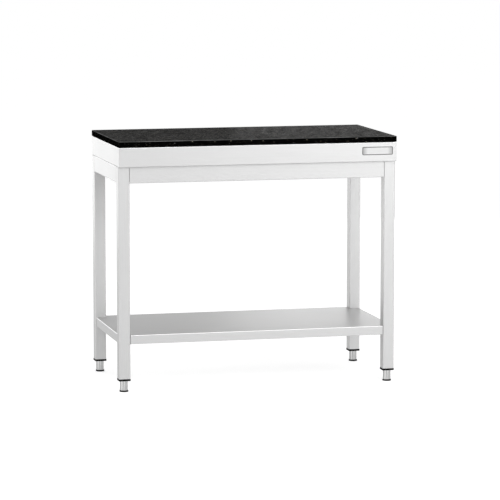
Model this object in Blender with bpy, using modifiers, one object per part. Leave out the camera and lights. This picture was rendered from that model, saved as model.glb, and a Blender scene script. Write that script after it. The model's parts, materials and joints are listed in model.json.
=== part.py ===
"""Work table with a granite top, a folded steel pan, an undershelf and four screw feet.

Metres, +Z up. The origin is on the floor under the middle of the top, and the front faces -Y.
"""

import math

import bmesh
import bpy
from mathutils import Matrix, Vector

# Whole table
TOP_WIDTH = 1.000
TOP_DEPTH = 0.500
TABLE_HEIGHT = 0.880
SEAT_GAP = 0.0003

# Granite slab and the adhesive bed under it
SLAB_THICKNESS = 0.020
SLAB_EDGE = 0.0025
SLAB_CORNER = 0.0015
BED_THICKNESS = 0.0010
BED_MARGIN = 0.008

# Folded sheet, shared by pan, rails, shelf and stiffeners
SHEET = 0.0012
FOLD_INNER_RADIUS = 0.0008
FOLD_STEPS = 2

# Pan under the slab, with its core board and hat stiffeners
PAN_HEIGHT = 0.068
PAN_INSET = 0.001
CORE_THICKNESS = 0.025
CORE_MARGIN = 0.003
HAT_CROWN = 0.060
HAT_FOOT = 0.022
TOP_HAT_SPACING = 0.420

# Place of the leg frame under the pan
FRONT_OVERHANG = 0.017
BACK_OVERHANG = 0.001
SIDE_OVERHANG = 0.001

# Legs, square tube
LEG_SIZE = 0.040
LEG_WALL = 0.0015
LEG_INNER_RADIUS = 0.0015
LEG_ARC_STEPS = 3

# Rails, folded channels between the legs
RAIL_HEIGHT = 0.057
RAIL_FLANGE = 0.028
RAIL_LIP = 0.012
RAIL_TAB = 0.026
RAIL_RELIEF = 0.004
RAIL_SETBACK = 0.0003

# Undershelf
SHELF_LEVEL = 0.201
SHELF_SKIRT = 0.032
SHELF_LIP = 0.012
SHELF_SIDE_SETBACK = 0.003
SHELF_FRONT_SETBACK = 0.001
SHELF_HAT_HEIGHT = 0.022
SHELF_HAT_END = 0.004

# Plugs in the legs, with their nuts
PLUG_FLANGE = 0.0066
PLUG_PROUD = 0.001
PLUG_DEPTH = 0.030
PLUG_WALL = 0.0025
PLUG_FLOOR = 0.004
BOSS_WALL = 0.0025
NUT_FLATS = 0.017
NUT_HEIGHT = 0.008
NUT_SIDES = 6

# Screw feet
FOOT_TRAVEL = 0.025
STUD_DIAMETER = 0.010
STUD_SPARE = 0.004
STUD_POINT = 0.001
SLEEVE_DIAMETER = 0.028
SLEEVE_HEIGHT = 0.0335
SLEEVE_WALL = 0.0012
SLEEVE_CAP = 0.003
SLEEVE_EDGE = 0.0008
PAD_THICKNESS = 0.0055
PAD_PROUD = 0.0018
PAD_CORE = 0.012
PAD_EDGE = 0.0012
FOOT_STEPS = 32
STUD_STEPS = 20

# Bolts
BOLT_DIAMETER = 0.006
BOLT_HEAD_DIAMETER = 0.011
BOLT_HEAD_HEIGHT = 0.0035
BOLT_HEAD_EDGE = 0.0008
BOLT_REACH = 0.008
BOLT_CLEARANCE = 0.0004
BOLT_STAGGER = 0.008
BOLT_STEPS = 12

# Modelling constants
ROUND_PROFILE = 0.5
SMOOTH_ANGLE = math.radians(30)
FOLD_ANGLE = math.radians(60)
MERGE_DISTANCE = 0.00001
TOLERANCE = 0.00001
UP = Vector((0, 0, 1))

# Levels, from the top surface down to the frame
SLAB_BOTTOM = TABLE_HEIGHT - SLAB_THICKNESS
BED_TOP = SLAB_BOTTOM - SEAT_GAP
PAN_TOP = BED_TOP - BED_THICKNESS - SEAT_GAP
PAN_BOTTOM = PAN_TOP - PAN_HEIGHT
CORE_TOP = PAN_TOP - SHEET - SEAT_GAP
CORE_BOTTOM = CORE_TOP - CORE_THICKNESS
TOP_HAT_TOP = CORE_BOTTOM - SEAT_GAP
TOP_HAT_BOTTOM = PAN_BOTTOM + SHEET + SEAT_GAP
FRAME_TOP = PAN_BOTTOM - SEAT_GAP

# Levels, from the floor up to the legs
SLEEVE_BOTTOM = PAD_THICKNESS + SEAT_GAP
SLEEVE_TOP = SLEEVE_BOTTOM + SLEEVE_HEIGHT
PLUG_BOTTOM = SLEEVE_TOP + SEAT_GAP
PLUG_SHOULDER = PLUG_BOTTOM + PLUG_FLANGE
LEG_BOTTOM = PLUG_SHOULDER + SEAT_GAP
PLUG_TOP = PLUG_SHOULDER + PLUG_DEPTH

# Plan of the pan
PAN_HALF_WIDTH = TOP_WIDTH / 2 - PAN_INSET
PAN_HALF_DEPTH = TOP_DEPTH / 2 - PAN_INSET
CORE_HALF_WIDTH = PAN_HALF_WIDTH - SHEET - CORE_MARGIN
CORE_HALF_DEPTH = PAN_HALF_DEPTH - SHEET - CORE_MARGIN

# Plan of the frame
FRAME_HALF_WIDTH = TOP_WIDTH / 2 - SIDE_OVERHANG
FRAME_FRONT = -TOP_DEPTH / 2 + FRONT_OVERHANG
FRAME_BACK = TOP_DEPTH / 2 - BACK_OVERHANG
FRAME_MIDDLE = (FRAME_FRONT + FRAME_BACK) / 2
LEG_X = FRAME_HALF_WIDTH - LEG_SIZE / 2
LEG_FRONT_Y = FRAME_FRONT + LEG_SIZE / 2
LEG_BACK_Y = FRAME_BACK - LEG_SIZE / 2
INNER_X = FRAME_HALF_WIDTH - LEG_SIZE
INNER_FRONT_Y = FRAME_FRONT + LEG_SIZE
INNER_BACK_Y = FRAME_BACK - LEG_SIZE
PAN_LIP = FRONT_OVERHANG - PAN_INSET + RAIL_SETBACK + RAIL_FLANGE
TOP_BOLT_X = (TOP_HAT_SPACING + HAT_CROWN + HAT_FOOT) / 2
TOP_BOLT_INSET = RAIL_SETBACK + RAIL_FLANGE / 2
SHELF_BOLT_Z = SHELF_LEVEL - SHELF_SKIRT / 2

FOLD_RADIUS = FOLD_INNER_RADIUS + SHEET
STUD_HOLE_RADIUS = STUD_DIAMETER / 2 + SEAT_GAP
BOLT_HOLE_RADIUS = BOLT_DIAMETER / 2 + BOLT_CLEARANCE
NUT_RADIUS = NUT_FLATS / math.sqrt(3)

CORNERS = {
    "front_left": (-LEG_X, LEG_FRONT_Y),
    "front_right": (LEG_X, LEG_FRONT_Y),
    "back_left": (-LEG_X, LEG_BACK_Y),
    "back_right": (LEG_X, LEG_BACK_Y),
}


# Scene set-up

def clear_scene():
    for obj in list(bpy.data.objects):
        bpy.data.objects.remove(obj)


def new_collection(name):
    made = bpy.data.collections.new(name)
    bpy.context.scene.collection.children.link(made)
    return made


def new_material(name, colour, metallic, roughness):
    material = bpy.data.materials.new(name)
    material.use_nodes = True
    shader = material.node_tree.nodes["Principled BSDF"]
    shader.inputs["Base Color"].default_value = (*colour, 1)
    shader.inputs["Metallic"].default_value = metallic
    shader.inputs["Roughness"].default_value = roughness
    return material


clear_scene()
PARTS = new_collection("granite_top_work_table")
CUTTERS = new_collection("cutters")
GRANITE = new_material("granite", (0.045, 0.045, 0.047), 0.0, 0.25)
STEEL = new_material("stainless_steel", (0.78, 0.78, 0.78), 1.0, 0.32)
ZINC = new_material("zinc_plated_steel", (0.62, 0.63, 0.65), 1.0, 0.40)
BLACK_PLASTIC = new_material("black_plastic", (0.012, 0.012, 0.013), 0.0, 0.55)
GREY_PLASTIC = new_material("dark_grey_plastic", (0.060, 0.060, 0.062), 0.0, 0.60)
CHIPBOARD = new_material("chipboard", (0.52, 0.38, 0.22), 0.0, 0.85)
ADHESIVE = new_material("adhesive", (0.55, 0.55, 0.52), 0.0, 0.70)


# Modelling helpers

def mesh_from(name, bm):
    mesh = bpy.data.meshes.new(name)
    bm.to_mesh(mesh)
    bm.free()
    mesh.shade_smooth()
    mesh.set_sharp_from_angle(angle=SMOOTH_ANGLE)
    return mesh


def add_part(name, mesh, material, matrix=None):
    obj = bpy.data.objects.new(name, mesh)
    if not mesh.materials:
        mesh.materials.append(material)
    obj.matrix_world = matrix or Matrix()
    PARTS.objects.link(obj)
    return obj


def add_cutter(name, bm, matrix=None):
    mesh = bpy.data.meshes.new(name)
    bm.to_mesh(mesh)
    bm.free()
    obj = bpy.data.objects.new(name, mesh)
    obj.matrix_world = matrix or Matrix()
    obj.hide_render = True
    obj.display_type = "WIRE"
    CUTTERS.objects.link(obj)
    return obj


def box(low, high):
    bm = bmesh.new()
    bmesh.ops.create_cube(bm, size=1.0)
    size = Vector(high) - Vector(low)
    middle = (Vector(high) + Vector(low)) / 2
    bmesh.ops.scale(bm, vec=size, verts=bm.verts)
    bmesh.ops.translate(bm, vec=middle, verts=bm.verts)
    return bm


def cylinder(radius, low, high, sides):
    bm = bmesh.new()
    depth = high - low
    bmesh.ops.create_cone(bm, cap_ends=True, segments=sides, radius1=radius, radius2=radius, depth=depth)
    bmesh.ops.translate(bm, vec=(0, 0, (low + high) / 2), verts=bm.verts)
    return bm


def upright_edges(bm):
    return [e for e in bm.edges if abs(e.verts[0].co.z - e.verts[1].co.z) > TOLERANCE]


def edges_at_height(bm, level):
    return [e for e in bm.edges if all(abs(v.co.z - level) < TOLERANCE for v in e.verts)]


def round_edges(bm, edges, radius, steps):
    bmesh.ops.bevel(bm, geom=edges, offset=radius, segments=steps, profile=ROUND_PROFILE, affect="EDGES")


def flat_sheet(columns, rows):
    """A grid of faces in the XY plane, with its lines at the given columns and rows."""
    bm = bmesh.new()
    bmesh.ops.create_grid(bm, x_segments=len(columns) - 1, y_segments=len(rows) - 1, size=1.0)
    for vert in bm.verts:
        column = round((vert.co.x + 1) / 2 * (len(columns) - 1))
        row = round((vert.co.y + 1) / 2 * (len(rows) - 1))
        vert.co = (columns[column], rows[row], 0)
    return bm


def fold(bm, edges, offset):
    """Fold a strip from free edges. Returns the strip's new free edges and their points."""
    made = bmesh.ops.extrude_edge_only(bm, edges=edges)["geom"]
    verts = [item for item in made if isinstance(item, bmesh.types.BMVert)]
    bmesh.ops.translate(bm, vec=offset, verts=verts)
    free = [item for item in made if isinstance(item, bmesh.types.BMEdge) and set(item.verts) <= set(verts)]
    return free, verts


def free_edges(bm):
    return [edge for edge in bm.edges if edge.is_boundary]


def face_out(bm, outward):
    """Turn the sheet so that its largest face looks along outward."""
    bmesh.ops.recalc_face_normals(bm, faces=bm.faces)
    largest = max(bm.faces, key=lambda face: face.calc_area())
    if largest.normal.dot(outward) < 0:
        bmesh.ops.reverse_faces(bm, faces=bm.faces)


def round_folds(bm, chosen=None):
    edges = [e for e in (chosen or bm.edges) if len(e.link_faces) == 2 and e.calc_face_angle() > FOLD_ANGLE]
    round_edges(bm, edges, FOLD_RADIUS, FOLD_STEPS)


def thicken(obj, thickness):
    shell = obj.modifiers.new("sheet", "SOLIDIFY")
    shell.thickness = thickness
    shell.offset = -1
    shell.use_even_offset = True


def cut(obj, cutter):
    boolean = obj.modifiers.new("cut", "BOOLEAN")
    boolean.operation = "DIFFERENCE"
    boolean.solver = "EXACT"
    boolean.object = cutter


def baked(obj):
    """The mesh of an object with its modifiers applied."""
    graph = bpy.context.evaluated_depsgraph_get()
    mesh = bpy.data.meshes.new_from_object(obj.evaluated_get(graph))
    mesh.shade_smooth()
    mesh.set_sharp_from_angle(angle=SMOOTH_ANGLE)
    return mesh


def along(direction):
    """Turn +Z to the given direction."""
    return UP.rotation_difference(Vector(direction)).to_matrix().to_4x4()


def drill(obj, places):
    """Bolt holes through the single wall at each place, given as a point and a direction."""
    bm = bmesh.new()
    for point, direction in places:
        bmesh.ops.create_cone(
            bm,
            cap_ends=True,
            segments=BOLT_STEPS,
            radius1=BOLT_HOLE_RADIUS,
            radius2=BOLT_HOLE_RADIUS,
            depth=2 * BOLT_REACH,
            matrix=Matrix.Translation(point) @ along(direction),
        )
    cut(obj, add_cutter(obj.name + "_holes", bm))


def turned(name, profile, closed, material, steps, matrix):
    """A turned piece from (radius, height) points that run down its outer side."""
    mesh = bpy.data.meshes.new(name)
    count = len(profile)
    links = [(index, index + 1) for index in range(count - 1)]
    if closed:
        links.append((count - 1, 0))
    mesh.from_pydata([(radius, 0, height) for radius, height in profile], links, [])
    obj = add_part(name, mesh, material, matrix)
    screw = obj.modifiers.new("turn", "SCREW")
    screw.axis = "Z"
    screw.angle = math.tau
    screw.steps = steps
    screw.render_steps = steps
    screw.use_merge_vertices = True
    screw.merge_threshold = MERGE_DISTANCE
    screw.use_smooth_shade = False
    return obj


# Top

def granite_top():
    bm = box((-TOP_WIDTH / 2, -TOP_DEPTH / 2, SLAB_BOTTOM), (TOP_WIDTH / 2, TOP_DEPTH / 2, TABLE_HEIGHT))
    round_edges(bm, upright_edges(bm), SLAB_CORNER, FOLD_STEPS)
    round_edges(bm, edges_at_height(bm, TABLE_HEIGHT), SLAB_EDGE, FOLD_STEPS)
    add_part("granite_top", mesh_from("granite_top", bm), GRANITE)


def granite_bed():
    half_width = TOP_WIDTH / 2 - BED_MARGIN
    half_depth = TOP_DEPTH / 2 - BED_MARGIN
    bm = box((-half_width, -half_depth, BED_TOP - BED_THICKNESS), (half_width, half_depth, BED_TOP))
    add_part("granite_bed", mesh_from("granite_bed", bm), ADHESIVE)


def top_bolt_places():
    """Points on the rails' top, in the outer foot of each stiffener, front and back."""
    return {
        "front_left": Vector((-TOP_BOLT_X, FRAME_FRONT + TOP_BOLT_INSET, FRAME_TOP)),
        "front_right": Vector((TOP_BOLT_X, FRAME_FRONT + TOP_BOLT_INSET, FRAME_TOP)),
        "back_left": Vector((-TOP_BOLT_X, FRAME_BACK - TOP_BOLT_INSET, FRAME_TOP)),
        "back_right": Vector((TOP_BOLT_X, FRAME_BACK - TOP_BOLT_INSET, FRAME_TOP)),
    }


def top_pan():
    bm = flat_sheet((-PAN_HALF_WIDTH, PAN_HALF_WIDTH), (-PAN_HALF_DEPTH, PAN_HALF_DEPTH))
    skirt, _ = fold(bm, free_edges(bm), (0, 0, -PAN_HEIGHT))
    _, lip = fold(bm, skirt, (0, 0, 0))
    for vert in lip:
        vert.co.x -= math.copysign(PAN_LIP, vert.co.x)
        vert.co.y -= math.copysign(PAN_LIP, vert.co.y)
    face_out(bm, UP)
    round_folds(bm)
    pan = add_part("top_pan", mesh_from("top_pan", bm), STEEL, Matrix.Translation((0, 0, PAN_TOP)))
    thicken(pan, SHEET)
    drill(pan, [(place, UP) for place in top_bolt_places().values()])


def core_board():
    bm = box((-CORE_HALF_WIDTH, -CORE_HALF_DEPTH, CORE_BOTTOM), (CORE_HALF_WIDTH, CORE_HALF_DEPTH, CORE_TOP))
    add_part("core_board", mesh_from("core_board", bm), CHIPBOARD)


def hat_channel(name, length, height, matrix):
    """A hat section along X, its crown at height 0 and its feet below."""
    bm = flat_sheet((-length / 2, length / 2), (-HAT_CROWN / 2, HAT_CROWN / 2))
    sides = [edge for edge in bm.edges if abs(edge.verts[0].co.y - edge.verts[1].co.y) < TOLERANCE]
    webs, _ = fold(bm, sides, (0, 0, SHEET - height))
    _, feet = fold(bm, webs, (0, 0, 0))
    for vert in feet:
        vert.co.y += math.copysign(HAT_FOOT, vert.co.y)
    crown = [face for face in bm.faces if abs(face.calc_center_median().z) < TOLERANCE]
    bmesh.ops.recalc_face_normals(bm, faces=bm.faces)
    if crown[0].normal.z < 0:
        bmesh.ops.reverse_faces(bm, faces=bm.faces)
    round_folds(bm)
    channel = add_part(name, mesh_from(name, bm), STEEL, matrix)
    thicken(channel, SHEET)
    return channel


def top_stiffeners():
    height = TOP_HAT_TOP - TOP_HAT_BOTTOM
    quarter_turn = Matrix.Rotation(math.pi / 2, 4, "Z")
    for side, sign in (("left", -1), ("right", 1)):
        place = Matrix.Translation((sign * TOP_HAT_SPACING / 2, 0, TOP_HAT_TOP))
        channel = hat_channel("top_stiffener_" + side, 2 * CORE_HALF_DEPTH, height, place @ quarter_turn)
        drill(channel, [(spot, UP) for name, spot in top_bolt_places().items() if side in name])


# Frame

def rail_frames():
    """Each rail's length and place: its X runs along it, its Y points inwards, its top is at height 0."""
    long_rail = 2 * (INNER_X - SEAT_GAP)
    short_rail = INNER_BACK_Y - INNER_FRONT_Y - 2 * SEAT_GAP
    side_x = FRAME_HALF_WIDTH - RAIL_SETBACK
    places = {
        "front": (long_rail, (0, FRAME_FRONT + RAIL_SETBACK), 0),
        "back": (long_rail, (0, FRAME_BACK - RAIL_SETBACK), math.pi),
        "left": (short_rail, (-side_x, FRAME_MIDDLE), -math.pi / 2),
        "right": (short_rail, (side_x, FRAME_MIDDLE), math.pi / 2),
    }
    return {
        name: (length, Matrix.Translation((*spot, FRAME_TOP)) @ Matrix.Rotation(turn, 4, "Z"))
        for name, (length, spot, turn) in places.items()
    }


def rail_bolt_places(side):
    """Seats on the inner face of a rail's two end tabs, with the direction into the leg."""
    length, matrix = rail_frames()[side]
    stagger = BOLT_STAGGER if side in ("front", "back") else -BOLT_STAGGER
    turn = matrix.to_3x3()
    places = []
    for end in (-1, 1):
        seat = Vector((end * (length / 2 - SHEET), RAIL_TAB / 2, stagger - RAIL_HEIGHT / 2))
        places.append((matrix @ seat, turn @ Vector((end, 0, 0))))
    return places


def rail(side):
    length, matrix = rail_frames()[side]
    levels = (-RAIL_HEIGHT, RAIL_RELIEF - RAIL_HEIGHT, -RAIL_RELIEF, 0)
    bm = flat_sheet((-length / 2, length / 2), levels)
    for vert in bm.verts:
        vert.co = (vert.co.x, 0, vert.co.y)
    top = edges_at_height(bm, 0)
    bottom = edges_at_height(bm, -RAIL_HEIGHT)
    tabs = [e for e in upright_edges(bm) if all(-RAIL_HEIGHT < v.co.z < 0 for v in e.verts)]
    fold(bm, top, (0, RAIL_FLANGE, 0))
    fold(bm, bottom, (0, RAIL_LIP, 0))
    fold(bm, tabs, (0, RAIL_TAB, 0))
    face_out(bm, Vector((0, -1, 0)))
    round_folds(bm, top + bottom)
    name = "rail_" + side
    channel = add_part(name, mesh_from(name, bm), STEEL, matrix)
    thicken(channel, SHEET)
    holes = rail_bolt_places(side)
    if side in ("front", "back"):
        holes += [(spot, UP) for place, spot in top_bolt_places().items() if side in place]
    drill(channel, holes)


def leg(corner):
    x, y = CORNERS[corner]
    half = LEG_SIZE / 2
    bm = box((x - half, y - half, LEG_BOTTOM), (x + half, y + half, FRAME_TOP))
    ends = [face for face in bm.faces if abs(face.normal.z) > math.cos(FOLD_ANGLE)]
    bmesh.ops.delete(bm, geom=ends, context="FACES_ONLY")
    round_edges(bm, upright_edges(bm), LEG_INNER_RADIUS + LEG_WALL, LEG_ARC_STEPS)
    name = "leg_" + corner
    tube = add_part(name, mesh_from(name, bm), STEEL)
    thicken(tube, LEG_WALL)
    near, side = corner.split("_")
    depth = y - FRAME_MIDDLE
    holes = [place for place in rail_bolt_places(near) if place[0].x * x > 0]
    holes += [place for place in rail_bolt_places(side) if (place[0].y - FRAME_MIDDLE) * depth > 0]
    holes.append(shelf_bolt_place(corner))
    drill(tube, holes)


# Undershelf

def shelf_bolt_place(corner):
    """Seat on the inner face of the shelf's notch flange, with the direction into the leg."""
    x, y = CORNERS[corner]
    sign = math.copysign(1, x)
    return Vector((sign * (INNER_X - SEAT_GAP - SHEET), y, SHELF_BOLT_Z)), Vector((sign, 0, 0))


def undershelf():
    half_width = FRAME_HALF_WIDTH - SHELF_SIDE_SETBACK
    notch_x = INNER_X - SEAT_GAP
    front = FRAME_FRONT + SHELF_FRONT_SETBACK
    back = FRAME_BACK - SHELF_FRONT_SETBACK
    columns = (-half_width, -notch_x, notch_x, half_width)
    rows = (front, INNER_FRONT_Y + SEAT_GAP, INNER_BACK_Y - SEAT_GAP, back)
    bm = flat_sheet(columns, rows)
    notches = []
    for face in bm.faces:
        middle = face.calc_center_median()
        if abs(middle.x) > notch_x and not rows[1] < middle.y < rows[2]:
            notches.append(face)
    bmesh.ops.delete(bm, geom=notches, context="FACES")
    skirt, _ = fold(bm, free_edges(bm), (0, 0, -SHELF_SKIRT))
    for edge in skirt:
        add_shelf_lip(bm, edge, half_width, front, back)
    face_out(bm, UP)
    round_folds(bm)
    level = Matrix.Translation((0, 0, SHELF_LEVEL))
    shelf = add_part("undershelf", mesh_from("undershelf", bm), STEEL, level)
    thicken(shelf, SHEET)
    drill(shelf, [shelf_bolt_place(corner) for corner in CORNERS])


def on_outline(edge, half_width, front, back):
    """Whether an edge lies on the shelf's front, back, left or right side."""
    ends = [vert.co for vert in edge.verts]
    on_side = abs(ends[0].x - ends[1].x) < TOLERANCE and abs(abs(ends[0].x) - half_width) < TOLERANCE
    on_front = all(abs(end.y - front) < TOLERANCE for end in ends)
    on_back = all(abs(end.y - back) < TOLERANCE for end in ends)
    return on_side or on_front or on_back


def add_shelf_lip(bm, edge, half_width, front, back):
    """Fold a lip inwards from a bottom edge of the outer skirt, mitred at both ends."""
    if not on_outline(edge, half_width, front, back):
        return
    middle = (edge.verts[0].co + edge.verts[1].co) / 2
    _, verts = fold(bm, [edge], (0, 0, 0))
    for vert in verts:
        inwards = Vector((0, FRAME_MIDDLE, 0)) - vert.co
        vert.co.x += math.copysign(SHELF_LIP, middle.x - vert.co.x or inwards.x)
        vert.co.y += math.copysign(SHELF_LIP, middle.y - vert.co.y or inwards.y)


def shelf_stiffener():
    length = 2 * (FRAME_HALF_WIDTH - SHELF_SIDE_SETBACK - SHELF_LIP - SHELF_HAT_END)
    bottom = SHELF_LEVEL - SHEET - SEAT_GAP - SHELF_HAT_HEIGHT
    place = Matrix.Translation((0, FRAME_MIDDLE, bottom))
    hat_channel("shelf_stiffener", length, SHELF_HAT_HEIGHT, place @ Matrix.Rotation(math.pi, 4, "X"))


# Feet

def plug_mesh():
    """A plug on the Z axis: square flange, hollow body, and a boss with a nut pocket and a bore."""
    half = LEG_SIZE / 2 + PLUG_PROUD
    bm = box((-half, -half, PLUG_BOTTOM), (half, half, PLUG_SHOULDER))
    round_edges(bm, upright_edges(bm), LEG_INNER_RADIUS + LEG_WALL + PLUG_PROUD, LEG_ARC_STEPS)
    top = max(bm.faces, key=lambda face: face.calc_center_median().z)
    shoulder = PLUG_PROUD + LEG_WALL + SEAT_GAP
    bmesh.ops.inset_region(bm, faces=[top], thickness=shoulder, use_even_offset=True)
    raised = bmesh.ops.extrude_face_region(bm, geom=[top])["geom"]
    bmesh.ops.delete(bm, geom=[top], context="FACES_ONLY")
    verts = [item for item in raised if isinstance(item, bmesh.types.BMVert)]
    bmesh.ops.translate(bm, vec=(0, 0, PLUG_DEPTH), verts=verts)
    plug = add_part("leg_plug", mesh_from("leg_plug", bm), BLACK_PLASTIC)
    pocket_half = LEG_SIZE / 2 - LEG_WALL - SEAT_GAP - PLUG_WALL
    pocket_floor = PLUG_SHOULDER + PLUG_FLOOR
    above = PLUG_TOP + PLUG_FLOOR
    pocket_box = box((-pocket_half, -pocket_half, pocket_floor), (pocket_half, pocket_half, above))
    pocket = add_cutter("plug_pocket", pocket_box)
    boss_radius = NUT_RADIUS + SEAT_GAP + BOSS_WALL
    cut(pocket, add_cutter("plug_boss", cylinder(boss_radius, PLUG_BOTTOM, above + PLUG_FLOOR, STUD_STEPS)))
    cut(plug, pocket)
    nut_seat = PLUG_TOP - NUT_HEIGHT - SEAT_GAP
    cut(plug, add_cutter("nut_pocket", cylinder(NUT_RADIUS + SEAT_GAP, nut_seat, above, NUT_SIDES)))
    bore = cylinder(STUD_HOLE_RADIUS, PLUG_BOTTOM - PLUG_FLOOR, above, STUD_STEPS)
    cut(plug, add_cutter("plug_bore", bore))
    mesh = baked(plug)
    bpy.data.objects.remove(plug)
    return mesh


def nut_mesh():
    low = PLUG_TOP - NUT_HEIGHT
    nut = add_part("plug_nut", mesh_from("plug_nut", cylinder(NUT_RADIUS, low, PLUG_TOP, NUT_SIDES)), ZINC)
    bore = cylinder(STUD_HOLE_RADIUS, low - PLUG_FLOOR, PLUG_TOP + PLUG_FLOOR, STUD_STEPS)
    cut(nut, add_cutter("nut_bore", bore))
    mesh = baked(nut)
    bpy.data.objects.remove(nut)
    return mesh


def stud_profile():
    radius = STUD_DIAMETER / 2
    low = SLEEVE_BOTTOM
    high = PLUG_TOP + FOOT_TRAVEL + STUD_SPARE
    return [(0, high), (radius - STUD_POINT, high), (radius, high - STUD_POINT), (radius, low), (0, low)]


def sleeve_profile():
    outer = SLEEVE_DIAMETER / 2
    inner = outer - SLEEVE_WALL
    under_cap = SLEEVE_TOP - SLEEVE_CAP
    return [
        (STUD_HOLE_RADIUS, SLEEVE_TOP),
        (outer - SLEEVE_EDGE, SLEEVE_TOP),
        (outer, SLEEVE_TOP - SLEEVE_EDGE),
        (outer, SLEEVE_BOTTOM),
        (inner, SLEEVE_BOTTOM),
        (inner, under_cap),
        (STUD_HOLE_RADIUS, under_cap),
    ]


def pad_profile():
    core = SLEEVE_DIAMETER / 2 - SLEEVE_WALL - SEAT_GAP
    outer = SLEEVE_DIAMETER / 2 + PAD_PROUD
    core_top = PAD_THICKNESS + PAD_CORE
    return [
        (0, PAD_THICKNESS),
        (STUD_HOLE_RADIUS, PAD_THICKNESS),
        (STUD_HOLE_RADIUS, core_top),
        (core, core_top),
        (core, PAD_THICKNESS),
        (outer - PAD_EDGE, PAD_THICKNESS),
        (outer, PAD_THICKNESS - PAD_EDGE),
        (outer, PAD_EDGE),
        (outer - PAD_EDGE, 0),
        (0, 0),
    ]


def feet():
    plug = plug_mesh()
    nut = nut_mesh()
    for corner, (x, y) in CORNERS.items():
        axis = Matrix.Translation((x, y, 0))
        add_part("leg_plug_" + corner, plug, BLACK_PLASTIC, axis)
        add_part("plug_nut_" + corner, nut, ZINC, axis)
        turned("foot_stud_" + corner, stud_profile(), False, ZINC, STUD_STEPS, axis)
        turned("foot_sleeve_" + corner, sleeve_profile(), True, STEEL, FOOT_STEPS, axis)
        turned("foot_pad_" + corner, pad_profile(), False, GREY_PLASTIC, FOOT_STEPS, axis)


# Bolts

def bolt(name, seat, direction, grip):
    """A bolt whose head rests at the seat and whose shank goes through the grip and a reach beyond."""
    head = BOLT_HEAD_DIAMETER / 2
    shank = BOLT_DIAMETER / 2
    tip = grip + BOLT_REACH
    profile = [
        (0, tip),
        (shank, tip),
        (shank, 0),
        (head, 0),
        (head, BOLT_HEAD_EDGE - BOLT_HEAD_HEIGHT),
        (head - BOLT_HEAD_EDGE, -BOLT_HEAD_HEIGHT),
        (0, -BOLT_HEAD_HEIGHT),
    ]
    place = Matrix.Translation(seat - direction * SEAT_GAP) @ along(direction)
    turned(name, profile, False, ZINC, BOLT_STEPS, place)


def bolts():
    wall_grip = SHEET + LEG_WALL + 2 * SEAT_GAP
    for side in rail_frames():
        for number, (seat, direction) in enumerate(rail_bolt_places(side), start=1):
            bolt(f"rail_bolt_{side}_{number}", seat, direction, wall_grip)
    for corner in CORNERS:
        bolt("shelf_bolt_" + corner, *shelf_bolt_place(corner), wall_grip)
    top_grip = 3 * SHEET + 3 * SEAT_GAP
    for corner, place in top_bolt_places().items():
        bolt("top_bolt_" + corner, place - SHEET * UP, UP, top_grip)


def main():
    granite_top()
    granite_bed()
    top_pan()
    core_board()
    top_stiffeners()
    for side in rail_frames():
        rail(side)
    for corner in CORNERS:
        leg(corner)
    undershelf()
    shelf_stiffener()
    feet()
    bolts()


main()
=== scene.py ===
"""Looks of the granite top work table: finishes, screw threads, a blank plate, light and camera.

Metres, +Z up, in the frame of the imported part. The front faces -Y.
"""

import json
import math

import bmesh
import bpy
from mathutils import Matrix, Vector


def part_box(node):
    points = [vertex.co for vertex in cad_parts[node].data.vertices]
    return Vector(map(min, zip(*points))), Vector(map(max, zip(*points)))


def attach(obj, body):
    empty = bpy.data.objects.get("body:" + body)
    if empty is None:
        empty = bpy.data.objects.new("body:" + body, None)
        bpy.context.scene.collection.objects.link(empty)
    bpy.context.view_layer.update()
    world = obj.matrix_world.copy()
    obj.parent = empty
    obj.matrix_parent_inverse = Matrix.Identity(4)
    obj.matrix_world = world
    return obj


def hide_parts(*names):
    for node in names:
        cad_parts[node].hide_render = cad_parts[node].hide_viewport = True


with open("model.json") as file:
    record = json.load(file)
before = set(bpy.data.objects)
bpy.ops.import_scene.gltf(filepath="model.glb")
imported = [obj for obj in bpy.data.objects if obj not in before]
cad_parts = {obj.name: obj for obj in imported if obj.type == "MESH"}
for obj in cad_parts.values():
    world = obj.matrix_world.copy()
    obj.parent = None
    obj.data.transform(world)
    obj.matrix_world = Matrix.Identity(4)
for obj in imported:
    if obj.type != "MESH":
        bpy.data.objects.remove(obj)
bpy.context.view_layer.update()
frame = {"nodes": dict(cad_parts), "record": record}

# Camera, fitted to the photograph's edges
CAMERA_PLACE = (-2.425, -9.947, 1.762)
CAMERA_TURN = math.radians(-13.852)
CAMERA_PITCH = math.radians(7.257)
PHOTO_WIDTH = 500
FOCAL_PIXELS = 2874.8
SENSOR_WIDTH = 36.0

# Light: place, aim, size and power of each soft lamp
AMBIENT = 0.45
LAMPS = {
    "key": ((0.64, -3.63, 3.03), (0.0, 0.0, 0.45), (2.2, 2.2), 58.0),
    "front_right": ((1.65, -2.85, 1.45), (0.0, 0.0, 0.45), (1.4, 1.4), 17.0),
    "back_left": ((-1.5, 2.4, 0.9), (-0.5, 0.0, 0.9), (1.4, 1.4), 12.5),
    "back_right": ((1.95, 4.6, 0.8), (0.35, 0.0, 0.5), (1.7, 0.9), 16.0),
    "left": ((-3.6, -0.8, 0.9), (-0.45, -0.2, 0.6), (0.8, 1.4), 14.0),
}

# Floor
FLOOR_SIZE = 200.0
FLOOR_COLOUR = (0.8, 0.8, 0.8, 1.0)
FLOOR_GLOW = 0.64

CORNERS = ("front_left", "front_right", "back_left", "back_right")

# Shading of the frame's solids
WELD = 0.000001
FLAT_ANGLE = math.radians(0.5)
FLAT_WEIGHT = 100
FOLD_ANGLE = math.radians(50)
SHARP_ANGLE = math.radians(35)

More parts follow.
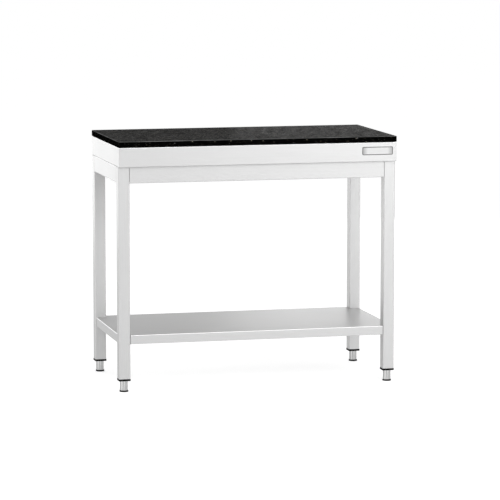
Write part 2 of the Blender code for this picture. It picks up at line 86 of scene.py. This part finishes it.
# Feet: sizes, with heights from the floor
TURNED_STEPS = 96
FILLET_STEPS = 6
STUD_BORE = 0.0053
SLEEVE_RADIUS = 0.0140
SLEEVE_BORE = 0.0128
SLEEVE_BOTTOM = 0.0058
SLEEVE_TOP = 0.0393
SLEEVE_CEILING = 0.0363
PAD_RADIUS = 0.0158
PAD_SOLE = 0.0120
PAD_CORE = 0.0125
PAD_CORE_TOP = 0.0175
PAD_THICKNESS = 0.0055

# Turned outlines: the (radius, height, fillet) of each corner
SLEEVE_OUTLINE = (
    (STUD_BORE, SLEEVE_TOP, 0.0002),
    (SLEEVE_RADIUS, SLEEVE_TOP, 0.0012),
    (SLEEVE_RADIUS, SLEEVE_BOTTOM, 0.0003),
    (SLEEVE_BORE, SLEEVE_BOTTOM, 0.0003),
    (SLEEVE_BORE, SLEEVE_CEILING, 0.0008),
    (STUD_BORE, SLEEVE_CEILING, 0.0002),
)
PAD_OUTLINE = (
    (STUD_BORE, PAD_THICKNESS, 0.0),
    (STUD_BORE, PAD_CORE_TOP, 0.0003),
    (PAD_CORE, PAD_CORE_TOP, 0.0005),
    (PAD_CORE, PAD_THICKNESS, 0.0003),
    (PAD_RADIUS, PAD_THICKNESS, 0.0013),
    (PAD_RADIUS, 0.0, 0.0013),
    (PAD_SOLE, 0.0, 0.0),
)

# Studs, a coarse metric thread
THREAD_PITCH = 0.0015
THREAD_CREST = 0.0050
THREAD_ROOT = 0.00419
THREAD_SHARES = (0.0, 0.25, 0.5625, 0.6875)
THREAD_RADII = (THREAD_ROOT, THREAD_ROOT, THREAD_CREST, THREAD_CREST)
THREAD_STEPS = 32
THREAD_START = 0.030
THREAD_CHAMFER = 0.001
THREAD_TIP = 0.0003
SPARE_TURNS = 2

# Bolts, with a button head and a hexagon socket
BOLT_STEPS = 24
BOLT_SHANK = 0.003
BOLT_POINT = 0.0006
BOLT_HEAD = 0.0055
BOLT_RIM = 0.0008
BOLT_TOP = 0.0034
BOLT_CROWN = 0.0029
BOLT_SOCKET = 0.004
BOLT_SOCKET_DEPTH = 0.002
DOME_STEPS = 6

# Plate: size, middle (x, z), and the (inset, level) of each ring from the pan outwards
PLATE_SIZE = (0.112, 0.029)
PLATE_RADIUS = 0.0045
PLATE_PLACE = (0.430, 0.8285)
PLATE_CORNER_STEPS = 8
PLATE_STEPS = (
    (0.0, -0.00005),
    (0.0, -0.0006),
    (0.0003, -0.00085),
    (0.0027, -0.00085),
    (0.0028, -0.0006),
)

# Numbers of a mix node's sockets when it blends colours
MIX_SHARE = 0
MIX_FIRST = 6
MIX_SECOND = 7
MIX_RESULT = 2


# Node helpers

def connect(tree, node, inputs):
    """Set each of a node's inputs to a value, or link it to another node's output."""
    for socket, value in inputs.items():
        if isinstance(value, bpy.types.NodeSocket):
            tree.links.new(value, node.inputs[socket])
        else:
            node.inputs[socket].default_value = value


def add_node(tree, kind, inputs=None, **settings):
    made = tree.nodes.new(kind)
    for name, value in settings.items():
        setattr(made, name, value)
    connect(tree, made, inputs or {})
    return made


def new_material(name):
    material = bpy.data.materials.new(name)
    material.use_nodes = True
    tree = material.node_tree
    return material, tree, tree.nodes["Principled BSDF"]


def stretched(tree, scale=(1.0, 1.0, 1.0)):
    """Coordinates that ride with the piece, with a scale of its own along each axis."""
    place = add_node(tree, "ShaderNodeTexCoord").outputs["Object"]
    return add_node(tree, "ShaderNodeMapping", {"Vector": place, "Scale": scale}).outputs["Vector"]


def noise(tree, vector, scale=1.0, detail=3.0, roughness=0.5):
    inputs = {"Vector": vector, "Scale": scale, "Detail": detail, "Roughness": roughness}
    return add_node(tree, "ShaderNodeTexNoise", inputs).outputs["Fac"]


def spread(tree, value, low, high, start=0.0, end=1.0):
    """Map a value from start..end to low..high."""
    inputs = {"Value": value, "From Min": start, "From Max": end, "To Min": low, "To Max": high}
    return add_node(tree, "ShaderNodeMapRange", inputs).outputs["Result"]


def ramp(tree, value, start, end):
    """0 up to start, 1 from end on, and a straight rise between."""
    return spread(tree, value, 0.0, 1.0, start, end)


def mix_colour(tree, share, first, second):
    inputs = {MIX_SHARE: share, MIX_FIRST: first, MIX_SECOND: second}
    return add_node(tree, "ShaderNodeMix", inputs, data_type="RGBA").outputs[MIX_RESULT]


def arithmetic(tree, operation, first, second):
    made = add_node(tree, "ShaderNodeMath", {0: first, 1: second}, operation=operation)
    return made.outputs["Value"]


def bump(tree, shader, height, strength, distance):
    inputs = {"Height": height, "Strength": strength, "Distance": distance}
    made = add_node(tree, "ShaderNodeBump", inputs)
    connect(tree, shader, {"Normal": made.outputs["Normal"]})


def facing_up(tree):
    """How far a face looks up, from 0 on an upright face to 1 on a level one."""
    normal = add_node(tree, "ShaderNodeNewGeometry").outputs["Normal"]
    return add_node(tree, "ShaderNodeSeparateXYZ", {"Vector": normal}).outputs["Z"]


def cell_pattern(tree, vector, density):
    """Cells: the way to each one's middle, and three random values of its own."""
    cells = add_node(tree, "ShaderNodeTexVoronoi", {"Vector": vector, "Scale": density}).outputs
    own = add_node(tree, "ShaderNodeSeparateColor", {"Color": cells["Color"]}).outputs
    return cells["Distance"], own["Red"], own["Green"], own["Blue"]


def grey(level):
    return (level, level, level, 1.0)


# Steel: tones, scales of its brushed lines, roughness and bump (strength, distance)

STEEL_DARK = grey(0.50)
STEEL_LIGHT = grey(0.57)
STEEL_GRAZING = grey(0.65)
# Tone of the painted highlight on folds that look up
STEEL_FOLD_HIGHLIGHT = grey(0.85)
LINES_ACROSS = 900.0
LINES_ALONG = 6.0
LINES_ROUGHNESS = (0.37, 0.45)
LINES_BUMP = (0.06, 0.0002)
CLOUDS_PER_METRE = 6.0
CLOUDS_ROUGHNESS = (0.0, 0.05)

# How far up a bend looks where its painted highlight comes in, and where it goes out again
FOLD_HIGHLIGHT_IN = (0.08, 0.3)
FOLD_HIGHLIGHT_OUT = (0.9, 0.99)


def steel(name, grain):
    """Brushed stainless steel whose lines run along one axis, with a painted highlight on folds that
    look up.
    """
    material, tree, shader = new_material(name)
    scale = [LINES_ACROSS] * 3
    scale["xyz".index(grain)] = LINES_ALONG
    lines = noise(tree, stretched(tree, scale))
    clouds = noise(tree, stretched(tree), CLOUDS_PER_METRE)
    upward = facing_up(tree)
    # Painted highlight: folds that look up are made brighter
    fold_highlight = arithmetic(tree, "SUBTRACT", ramp(tree, upward, *FOLD_HIGHLIGHT_IN), ramp(tree, upward, *FOLD_HIGHLIGHT_OUT))
    brushed = mix_colour(tree, lines, STEEL_DARK, STEEL_LIGHT)
    rough = spread(tree, lines, *LINES_ROUGHNESS)
    connect(tree, shader, {
        "Base Color": mix_colour(tree, fold_highlight, brushed, STEEL_FOLD_HIGHLIGHT),
        "Roughness": arithmetic(tree, "ADD", rough, spread(tree, clouds, *CLOUDS_ROUGHNESS)),
        "Metallic": 1.0,
        "Specular Tint": STEEL_GRAZING,
    })
    bump(tree, shader, lines, *LINES_BUMP)
    return material


# Streak tones of the drawn tube, partly a painted reflection
DRAWN_DARK = grey(0.18)
DRAWN_LIGHT = grey(0.66)
DRAWN_STREAKS = (260.0, 260.0, 5.0)
DRAWN_FINE = (1400.0, 1400.0, 30.0)
DRAWN_DETAIL = 2.0
DRAWN_CONTRAST = (0.40, 0.60)
STREAKS_ROUGHNESS = (0.24, 0.16)
FINE_ROUGHNESS = (0.0, 0.08)


def drawn_steel():
    """Bright drawn tube with streaks along its length, whose dark and light bands are partly a painted
    reflection.
    """
    material, tree, shader = new_material("drawn_steel")
    streaks = noise(tree, stretched(tree, DRAWN_STREAKS), detail=DRAWN_DETAIL)
    fine = noise(tree, stretched(tree, DRAWN_FINE), detail=DRAWN_DETAIL)
    tone = ramp(tree, streaks, *DRAWN_CONTRAST)
    rough = spread(tree, streaks, *STREAKS_ROUGHNESS)
    connect(tree, shader, {
        "Base Color": mix_colour(tree, tone, DRAWN_DARK, DRAWN_LIGHT),
        "Roughness": arithmetic(tree, "ADD", rough, spread(tree, fine, *FINE_ROUGHNESS)),
        "Metallic": 1.0,
        "Specular Tint": STEEL_GRAZING,
    })
    return material


def clouded_metal(name, clouds_per_metre, dark, light, roughness):
    """Metal with fine clouds in its tone and its roughness."""
    material, tree, shader = new_material(name)
    clouds = noise(tree, stretched(tree), clouds_per_metre)
    connect(tree, shader, {
        "Base Color": mix_colour(tree, clouds, dark, light),
        "Roughness": spread(tree, clouds, *roughness),
        "Metallic": 1.0,
    })
    return material


# Granite: tones, scales, and the range of a noise or a cell's own value in which each tone comes in

STONE_BLACK = grey(0.0006)
STONE_DARK = (0.003, 0.003, 0.0027, 1.0)
# Tone of the grain on the level top: stone grain, partly a painted glint
STONE_GRAIN_AND_GLINT = (0.085, 0.08, 0.07, 1.0)
# Tone of the arris: paler ground stone, partly a painted highlight
STONE_ARRIS_AND_HIGHLIGHT = grey(0.2)
STONE_ROUGHNESS = (0.28, 0.42)
MOTTLE = {"scale": 60.0, "detail": 4.0, "roughness": 0.65}
MOTTLE_SHOWN = (0.35, 0.7)
FLECKS_PER_METRE = 420.0
FLECKS_SHOWN = (0.965, 0.99)
FLECK_GREY = grey(0.03)
FLECK_WARM = (0.07, 0.06, 0.045, 1.0)
GRAINS_SHOWN = (0.72, 1.0)
CRYSTALS_PER_METRE = 190.0
CRYSTALS_SHOWN = (0.965, 0.97)
CRYSTAL_REACH = (0.26, 0.38)
CRYSTAL_GREY = grey(0.2)
CRYSTAL_WARM = (0.25, 0.225, 0.17, 1.0)
CRYSTAL_WAVER = 0.004

# Granite's polish and its arris, a paler ground edge that is partly a painted highlight, and how far up
# a level or a sloping face looks
POLISH = {"scale": 40.0, "detail": 6.0, "roughness": 0.85}
POLISH_WEIGHT = (0.01, 0.105)
POLISH_SHOWN = (0.38, 0.62)
POLISH_ROUGHNESS = 0.18
WEAR_AND_HIGHLIGHT_PER_METRE = 9.0
WEAR_AND_HIGHLIGHT_STRENGTH = (0.5, 1.0)
WEAR_AND_HIGHLIGHT_SHOWN = (0.4, 0.6)
LEVEL_FACE = (0.93, 0.99)
SLOPING_FACE = (0.15, 0.4)


def wavering(tree, place, density):
    """Coordinates that wander a little, so that cells get uneven edges."""
    wander = add_node(tree, "ShaderNodeTexNoise", {"Vector": place, "Scale": 2 * density})
    inputs = {0: wander.outputs["Color"], 1: [CRYSTAL_WAVER] * 3, 2: place}
    made = add_node(tree, "ShaderNodeVectorMath", inputs, operation="MULTIPLY_ADD")
    return made.outputs["Vector"]


def stone_colour(tree, place, mottle, polished):
    """Black stone with fine flecks and bright crystals, and with a grey grain on the level top that is
    partly a painted glint of its polish.
    """
    colour = mix_colour(tree, ramp(tree, mottle, *MOTTLE_SHOWN), STONE_BLACK, STONE_DARK)
    _, rank, warmth, _ = cell_pattern(tree, place, FLECKS_PER_METRE)
    fleck = mix_colour(tree, warmth, FLECK_GREY, FLECK_WARM)
    colour = mix_colour(tree, ramp(tree, rank, *FLECKS_SHOWN), colour, fleck)
    uneven = wavering(tree, place, CRYSTALS_PER_METRE)
    way, rank, warmth, grain = cell_pattern(tree, uneven, CRYSTALS_PER_METRE)
    # The grain only on the level top: the stone's grain, partly a painted glint
    grains_and_glint = arithmetic(tree, "MULTIPLY", ramp(tree, grain, *GRAINS_SHOWN), polished)
    colour = mix_colour(tree, grains_and_glint, colour, STONE_GRAIN_AND_GLINT)
    crystal = mix_colour(tree, warmth, CRYSTAL_GREY, CRYSTAL_WARM)
    within = spread(tree, way, 1.0, 0.0, *CRYSTAL_REACH)
    crystals = arithmetic(tree, "MULTIPLY", ramp(tree, rank, *CRYSTALS_SHOWN), within)
    return mix_colour(tree, crystals, colour, crystal)


def granite():
    """Dark stone with a polished top, sawn sides and a paler ground arris that is partly a painted
    highlight on the upward-sloping edge.
    """
    material, tree, shader = new_material("granite")
    place = stretched(tree)
    mottle = noise(tree, place, **MOTTLE)
    upward = facing_up(tree)
    top = ramp(tree, upward, *LEVEL_FACE)
    slope = arithmetic(tree, "SUBTRACT", ramp(tree, upward, *SLOPING_FACE), top)
    wear_and_highlight = spread(tree, noise(tree, place, WEAR_AND_HIGHLIGHT_PER_METRE), *WEAR_AND_HIGHLIGHT_STRENGTH, *WEAR_AND_HIGHLIGHT_SHOWN)
    # The upward-sloping arris made paler: partly ground stone, partly a painted highlight
    arris = arithmetic(tree, "MULTIPLY", slope, wear_and_highlight)
    polish = spread(tree, noise(tree, place, **POLISH), *POLISH_WEIGHT, *POLISH_SHOWN)
    connect(tree, shader, {
        "Base Color": mix_colour(tree, arris, stone_colour(tree, place, mottle, top), STONE_ARRIS_AND_HIGHLIGHT),
        "Roughness": spread(tree, mottle, *STONE_ROUGHNESS),
        "Specular IOR Level": 0.0,
        "Coat Weight": arithmetic(tree, "MULTIPLY", polish, top),
        "Coat Roughness": POLISH_ROUGHNESS,
    })
    return material


# Plastic, board and glue

PLASTIC_GRAIN_PER_METRE = 700.0
PLASTIC_ROUGHNESS = (0.54, 0.66)
PLASTIC_GLOSS = 0.12
PLASTIC_BUMP = (0.15, 0.0002)


def plastic(name, dark, light):
    """Moulded plastic with a fine matt grain."""
    material, tree, shader = new_material(name)
    grain = noise(tree, stretched(tree), PLASTIC_GRAIN_PER_METRE)
    connect(tree, shader, {
        "Base Color": mix_colour(tree, grain, dark, light),
        "Roughness": spread(tree, grain, *PLASTIC_ROUGHNESS),
        "Specular IOR Level": PLASTIC_GLOSS,
    })
    bump(tree, shader, grain, *PLASTIC_BUMP)
    return material


CHIPS_PER_METRE = 220.0
CHIP_DARK = (0.36, 0.24, 0.12, 1.0)
CHIP_LIGHT = (0.62, 0.47, 0.29, 1.0)
CHIPBOARD_ROUGHNESS = 0.85
CHIPBOARD_BUMP = (0.3, 0.0005)


def chipboard():
    """Pressed chips, each of its own tone."""
    material, tree, shader = new_material("chipboard")
    way, tone, _, _ = cell_pattern(tree, stretched(tree), CHIPS_PER_METRE)
    connect(tree, shader, {
        "Base Color": mix_colour(tree, tone, CHIP_DARK, CHIP_LIGHT),
        "Roughness": CHIPBOARD_ROUGHNESS,
    })
    bump(tree, shader, way, *CHIPBOARD_BUMP)
    return material


GLUE_CLOUDS_PER_METRE = 120.0
GLUE_DARK = grey(0.45)
GLUE_LIGHT = grey(0.6)
GLUE_ROUGHNESS = 0.6


def adhesive():
    """Pale glue with faint clouds."""
    material, tree, shader = new_material("adhesive")
    clouds = noise(tree, stretched(tree), GLUE_CLOUDS_PER_METRE)
    connect(tree, shader, {
        "Base Color": mix_colour(tree, clouds, GLUE_DARK, GLUE_LIGHT),
        "Roughness": GLUE_ROUGHNESS,
    })
    return material


# The plate's field: tones, brushed lines, and where along it the painted shade darkens the ends

FIELD_DARK = grey(0.64)
FIELD_LIGHT = grey(0.74)
FIELD_END_SHADE = grey(0.34)
FIELD_LINES = (12.0, 900.0, 900.0)
FIELD_SHADE_REACH = (0.036, PLATE_SIZE[0] / 2)
FIELD_ROUGHNESS = (0.30, 0.42)
FIELD_METALLIC = 0.3


def plate_field():
    """Pale brushed metal with painted shade that darkens it towards both ends."""
    material, tree, shader = new_material("plate_field")
    lines = noise(tree, stretched(tree, FIELD_LINES))
    along = add_node(tree, "ShaderNodeSeparateXYZ", {"Vector": stretched(tree)}).outputs["X"]
    # Painted shade towards both ends of the field
    ends = ramp(tree, arithmetic(tree, "ABSOLUTE", along, 0.0), *FIELD_SHADE_REACH)
    brushed = mix_colour(tree, lines, FIELD_DARK, FIELD_LIGHT)
    connect(tree, shader, {
        "Base Color": mix_colour(tree, ends, brushed, FIELD_END_SHADE),
        "Roughness": spread(tree, lines, *FIELD_ROUGHNESS),
        "Metallic": FIELD_METALLIC,
    })
    return material


# Finishes

BLACK_TONES = (grey(0.001), grey(0.003))
GREY_TONES = (grey(0.012), grey(0.03))
ZINC_TONES = ((0.52, 0.53, 0.55, 1.0), (0.68, 0.69, 0.71, 1.0))
ZINC_ROUGHNESS = (0.30, 0.45)
ZINC_CLOUDS_PER_METRE = 250.0
RIM_TONES = (grey(0.10), grey(0.17))
RIM_ROUGHNESS = (0.35, 0.5)
RIM_CLOUDS_PER_METRE = 900.0

FOOT_STEEL = drawn_steel()
PLATE_FINISHES = [
    clouded_metal("plate_rim", RIM_CLOUDS_PER_METRE, *RIM_TONES, RIM_ROUGHNESS),
    plate_field(),
]
STEEL_BY_GRAIN = {axis: steel("stainless_" + axis, axis) for axis in "xyz"}
FINISHES = {
    "granite": granite(),
    "adhesive": adhesive(),
    "chipboard": chipboard(),
    "black_plastic": plastic("black_plastic", *BLACK_TONES),
    "grey_plastic": plastic("grey_plastic", *GREY_TONES),
    "zinc_steel": clouded_metal("zinc_plate", ZINC_CLOUDS_PER_METRE, *ZINC_TONES, ZINC_ROUGHNESS),
}


def grain_of(node):
    """The direction in which a steel node is brushed."""
    if node.startswith(("leg_", "foot_")):
        return "z"
    if node in ("rail_left", "rail_right") or node.startswith("top_stiffener"):
        return "y"
    return "x"


def dress_nodes():
    slots = {part["node"]: part["material_slot"] for part in frame["record"]["subparts"]}
    for name, obj in frame["nodes"].items():
        finish = FINISHES.get(slots[name]) or STEEL_BY_GRAIN[grain_of(name)]
        obj.data.materials.clear()
        obj.data.materials.append(finish)


def fold_shading():
    """A node group that joins loose facets and shades rounded folds as curves."""
    group = bpy.data.node_groups.new("soft_folds", "GeometryNodeTree")
    group.is_modifier = True
    for way in ("INPUT", "OUTPUT"):
        group.interface.new_socket("Geometry", in_out=way, socket_type="NodeSocketGeometry")

    def step(kind, before, inputs, **settings):
        made = add_node(group, kind, {"Geometry": before, **inputs}, **settings)
        return made.outputs["Geometry"]

    start = add_node(group, "NodeGroupInput").outputs["Geometry"]
    joined = step("GeometryNodeMergeByDistance", start, {"Distance": WELD})
    bare = step("GeometryNodeRemoveAttribute", joined, {"Name": "custom_normal"})
    smooth = step("GeometryNodeSetShadeSmooth", bare, {"Shade Smooth": True})
    angle = add_node(group, "GeometryNodeInputMeshEdgeAngle").outputs["Unsigned Angle"]
    limits = {"A": angle, "B": FOLD_ANGLE}
    gentle = add_node(group, "FunctionNodeCompare", limits, operation="LESS_THAN").outputs["Result"]
    creased = step("GeometryNodeSetShadeSmooth", smooth, {"Shade Smooth": gentle}, domain="EDGE")
    add_node(group, "NodeGroupOutput", {"Geometry": creased})
    return group


def soften_folds():
    """Give each of the frame's solids whole flat faces and smooth folds."""
    group = fold_shading()
    for obj in frame["nodes"].values():
        obj.modifiers.new("soft_folds", "NODES").node_group = group
        whole = obj.modifiers.new("whole_faces", "DECIMATE")
        whole.decimate_type = "DISSOLVE"
        whole.angle_limit = FLAT_ANGLE
        flats = obj.modifiers.new("flat_faces", "WEIGHTED_NORMAL")
        flats.mode = "FACE_AREA"
        flats.weight = FLAT_WEIGHT
        flats.keep_sharp = True


# Pieces

def circle(radius, height, steps):
    turns = [math.tau * i / steps for i in range(steps)]
    return [(radius * math.cos(turn), radius * math.sin(turn), height) for turn in turns]


def filleted(outline):
    """Round each corner (x, z, radius) of a closed outline by its own radius."""
    rounded = []
    for i, (x, z, radius) in enumerate(outline):
        here = Vector((x, z))
        if not radius:
            rounded.append(here)
            continue
        before = (Vector(outline[i - 1][:2]) - here).normalized()
        after = (Vector(outline[(i + 1) % len(outline)][:2]) - here).normalized()
        half = before.angle(after) / 2
        centre = here + (before + after).normalized() * radius / math.sin(half)
        first = here + before * radius / math.tan(half) - centre
        last = here + after * radius / math.tan(half) - centre
        spokes = [first.lerp(last, step / FILLET_STEPS) for step in range(FILLET_STEPS + 1)]
        rounded += [centre + spoke.normalized() * radius for spoke in spokes]
    return rounded


def loft(rings, closed=False):
    """Skin a row of rings with equal counts of points. A closed row joins up, an open one is capped."""
    bm = bmesh.new()
    rows = [[bm.verts.new(point) for point in ring] for ring in rings]
    following = rows[1:] + rows[:1] if closed else rows[1:]
    for first, second in zip(rows, following):
        for i in range(len(first)):
            bm.faces.new((first[i - 1], first[i], second[i], second[i - 1]))
    if not closed:
        bm.faces.new(rows[0])
        bm.faces.new(rows[-1])
    bmesh.ops.recalc_face_normals(bm, faces=bm.faces)
    return bm


def turned(outline, closed=False):
    """A shape turned about Z from an outline of (radius, height, fillet) corners."""
    return loft([circle(p.x, p.y, TURNED_STEPS) for p in filleted(outline)], closed)


def add_piece(name, bm, materials, body, place):
    mesh = bpy.data.meshes.new(name)
    bm.to_mesh(mesh)
    bm.free()
    mesh.shade_smooth()
    mesh.set_sharp_from_angle(angle=SHARP_ANGLE)
    for material in materials:
        mesh.materials.append(material)
    piece = bpy.data.objects.new(name, mesh)
    piece.matrix_world = place
    bpy.context.scene.collection.objects.link(piece)
    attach(piece, body)
    return piece


def foot_place(corner):
    """The upright axis of a foot, from the floor."""
    low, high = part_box("foot_sleeve_" + corner)
    centre = (low + high) / 2
    return Matrix.Translation((centre.x, centre.y, 0.0))


def thread_point(row, step, start, high):
    """A point of the thread's helix, run out at both ends."""
    full_turns, part = divmod(row, len(THREAD_SHARES))
    turn = full_turns + THREAD_SHARES[part] + step / THREAD_STEPS - 1
    height = start + THREAD_PITCH * turn
    radius = THREAD_RADII[part]
    if height < start:
        height, radius = start, THREAD_ROOT
    if height > high - THREAD_CHAMFER:
        height = min(height, high)
        radius = min(radius, THREAD_ROOT - THREAD_TIP + high - height)
    around = math.tau * step / THREAD_STEPS
    return (radius * math.cos(around), radius * math.sin(around), height)


def threaded_rod(low, start, high):
    """A rod along Z that is plain up to start and threaded from there to its top."""
    bm = bmesh.new()
    per_turn = len(THREAD_SHARES)
    rows = per_turn * (math.ceil((high - start) / THREAD_PITCH) + SPARE_TURNS)
    grid = [
        [bm.verts.new(thread_point(row, step, start, high)) for step in range(THREAD_STEPS)]
        for row in range(rows + per_turn + 1)
    ]
    for row in range(rows):
        for step in range(THREAD_STEPS):
            wraps = step + 1 == THREAD_STEPS
            ahead = (row + per_turn, 0) if wraps else (row, step + 1)
            corners = ((row, step), ahead, (ahead[0] + 1, ahead[1]), (row + 1, step))
            bm.faces.new([grid[r][s] for r, s in corners])
    bmesh.ops.remove_doubles(bm, verts=bm.verts, dist=WELD)
    ends = [edge for edge in bm.edges if edge.is_boundary]
    rim = [tuple(edge.verts) for edge in ends if edge.verts[0].co.z < start + THREAD_PITCH]
    lower = {}
    for vert in [vert for pair in rim for vert in pair]:
        if vert not in lower:
            lower[vert] = bm.verts.new((vert.co.x, vert.co.y, low))
    for first, second in rim:
        bm.faces.new((first, second, lower[second], lower[first]))
    bmesh.ops.holes_fill(bm, edges=[edge for edge in bm.edges if edge.is_boundary])
    bmesh.ops.recalc_face_normals(bm, faces=bm.faces)
    return bm


def foot_pieces():
    """The turned sleeve and pad and the threaded stud of each foot."""
    for corner in CORNERS:
        place = foot_place(corner)
        screw = "foot_screw_" + corner
        glide = "foot_glide_" + corner
        low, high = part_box("foot_stud_" + corner)
        sleeve = turned(SLEEVE_OUTLINE, closed=True)
        pad = turned(PAD_OUTLINE)
        stud = threaded_rod(low.z, THREAD_START, high.z)
        for name, node, bm, finish, body, slot in (
            ("turned_sleeve_", "foot_sleeve_", sleeve, FOOT_STEEL, screw, "stainless"),
            ("moulded_pad_", "foot_pad_", pad, FINISHES["grey_plastic"], glide, "grey_plastic"),
            ("threaded_stud_", "foot_stud_", stud, FINISHES["zinc_steel"], screw, "zinc_steel"),
        ):
            piece = add_piece(name + corner, bm, [finish], body, place)
            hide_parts(node + corner)


def hexagon(across, height, steps):
    """A ring of points on a hexagon, as many as a circle's ring has."""
    ring = []
    for i in range(steps):
        turn = math.tau * i / steps
        reach = across / 2 / math.cos((turn + math.pi / 6) % (math.pi / 3) - math.pi / 6)
        ring.append((reach * math.cos(turn), reach * math.sin(turn), height))
    return ring


def bolt_mesh(shank_length):
    """A button head bolt along Z, its head's seat at the origin and its shank below."""
    tip = -shank_length
    rings = [
        circle(BOLT_SHANK - BOLT_POINT, tip, BOLT_STEPS),
        circle(BOLT_SHANK, tip + BOLT_POINT, BOLT_STEPS),
        circle(BOLT_SHANK, 0.0, BOLT_STEPS),
        circle(BOLT_HEAD, 0.0, BOLT_STEPS),
        circle(BOLT_HEAD, BOLT_RIM, BOLT_STEPS),
    ]
    for step in range(1, DOME_STEPS + 1):
        lift = math.pi / 2 * step / DOME_STEPS
        radius = BOLT_CROWN + (BOLT_HEAD - BOLT_CROWN) * math.cos(lift)
        rings.append(circle(radius, BOLT_RIM + (BOLT_TOP - BOLT_RIM) * math.sin(lift), BOLT_STEPS))
    rings.append(hexagon(BOLT_SOCKET, BOLT_TOP, BOLT_STEPS))
    rings.append(hexagon(BOLT_SOCKET, BOLT_TOP - BOLT_SOCKET_DEPTH, BOLT_STEPS))
    return loft(rings)


def bolt_place(node):
    """The seat of a bolt's head and its shank's length, from the node's own points."""
    low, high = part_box(node)
    size = high - low
    axis = max(range(3), key=lambda i: size[i])
    centre = (low + high) / 2
    points = [vert.co - centre for vert in frame["nodes"][node].data.vertices]
    across = [math.hypot(*[p[i] for i in range(3) if i != axis]) for p in points]
    widest = max(across)
    heads = [p[axis] for p, reach in zip(points, across) if reach > widest - WELD]
    seat = min(heads, key=abs)
    side = math.copysign(1.0, seat)
    direction = Vector([side if i == axis else 0.0 for i in range(3)])
    turn = direction.to_track_quat("Z", "Y").to_matrix().to_4x4()
    return Matrix.Translation(centre + direction * abs(seat)) @ turn, size[axis] / 2 + abs(seat)


def bolt_pieces():
    zinc = [FINISHES["zinc_steel"]]
    for node in frame["nodes"]:
        if "_bolt_" in node:
            place, shank = bolt_place(node)
            name = node.replace("bolt", "button_bolt")
            piece = add_piece(name, bolt_mesh(shank), zinc, "table", place)
            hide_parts(node)


def rounded_rectangle(width, height, radius, level):
    """A ring in the plane y = level, seen from the front."""
    ring = []
    for quarter, (x, z) in enumerate(((1, 1), (-1, 1), (-1, -1), (1, -1))):
        for step in range(PLATE_CORNER_STEPS + 1):
            turn = math.pi / 2 * (quarter + step / PLATE_CORNER_STEPS)
            across = x * (width / 2 - radius) + radius * math.cos(turn)
            ring.append((across, level, z * (height / 2 - radius) + radius * math.sin(turn)))
    return ring


def blank_plate():
    """A plain plate with a raised rim on the pan's front, near its right end."""
    rings = []
    for inset, level in PLATE_STEPS:
        size = [side - 2 * inset for side in PLATE_SIZE]
        rings.append(rounded_rectangle(*size, PLATE_RADIUS - inset, level))
    bm = loft(rings)
    bm.faces.ensure_lookup_table()
    field = bm.faces[-1]
    field.material_index = 1
    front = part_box("top_pan")[0].y
    place = Matrix.Translation((PLATE_PLACE[0], front, PLATE_PLACE[1]))
    add_piece("blank_plate", bm, PLATE_FINISHES, "table", place)


# Stage, light and camera

def background_share(tree):
    """1 for rays that show the background: straight, mirrored or through glass."""
    path = add_node(tree, "ShaderNodeLightPath").outputs
    mirrored = arithmetic(tree, "MAXIMUM", path["Is Glossy Ray"], path["Is Transmission Ray"])
    return arithmetic(tree, "MAXIMUM", path["Is Camera Ray"], mirrored)


def studio_world():
    world = bpy.data.worlds.new("studio")
    world.use_nodes = True
    tree = world.node_tree
    connect(tree, tree.nodes["Background"], {
        "Color": grey(1.0),
        "Strength": spread(tree, background_share(tree), AMBIENT, 1.0),
    })
    bpy.context.scene.world = world


def studio_floor():
    bm = bmesh.new()
    bmesh.ops.create_grid(bm, x_segments=1, y_segments=1, size=FLOOR_SIZE / 2)
    mesh = bpy.data.meshes.new("floor")
    bm.to_mesh(mesh)
    bm.free()
    floor = bpy.data.objects.new("floor", mesh)
    bpy.context.scene.collection.objects.link(floor)
    material, tree, shader = new_material("floor")
    connect(tree, shader, {
        "Base Color": FLOOR_COLOUR,
        "Roughness": 1.0,
        "Specular IOR Level": 0.0,
        "Emission Color": grey(1.0),
        "Emission Strength": spread(tree, background_share(tree), 0.0, FLOOR_GLOW),
    })
    mesh.materials.append(material)


def soft_light(name, place, aim, size, power):
    lamp = bpy.data.lights.new(name, "AREA")
    lamp.shape = "RECTANGLE"
    lamp.size, lamp.size_y = size
    lamp.energy = power
    obj = bpy.data.objects.new(name, lamp)
    obj.location = place
    obj.rotation_euler = (Vector(aim) - Vector(place)).to_track_quat("-Z", "Y").to_euler()
    obj.visible_camera = False
    bpy.context.scene.collection.objects.link(obj)


def photo_camera():
    camera = bpy.data.cameras.new("camera")
    camera.sensor_width = SENSOR_WIDTH
    camera.sensor_fit = "HORIZONTAL"
    camera.lens = SENSOR_WIDTH * FOCAL_PIXELS / PHOTO_WIDTH
    camera.clip_end = 2 * FLOOR_SIZE
    obj = bpy.data.objects.new("camera", camera)
    obj.location = CAMERA_PLACE
    obj.rotation_euler = (math.pi / 2 - CAMERA_PITCH, 0.0, CAMERA_TURN)
    bpy.context.scene.collection.objects.link(obj)
    bpy.context.scene.camera = obj


dress_nodes()
soften_folds()
foot_pieces()
bolt_pieces()
blank_plate()
studio_world()
studio_floor()
for lamp_name, settings in LAMPS.items():
    soft_light(lamp_name, *settings)
photo_camera()
bpy.context.scene.view_settings.view_transform = "Standard"
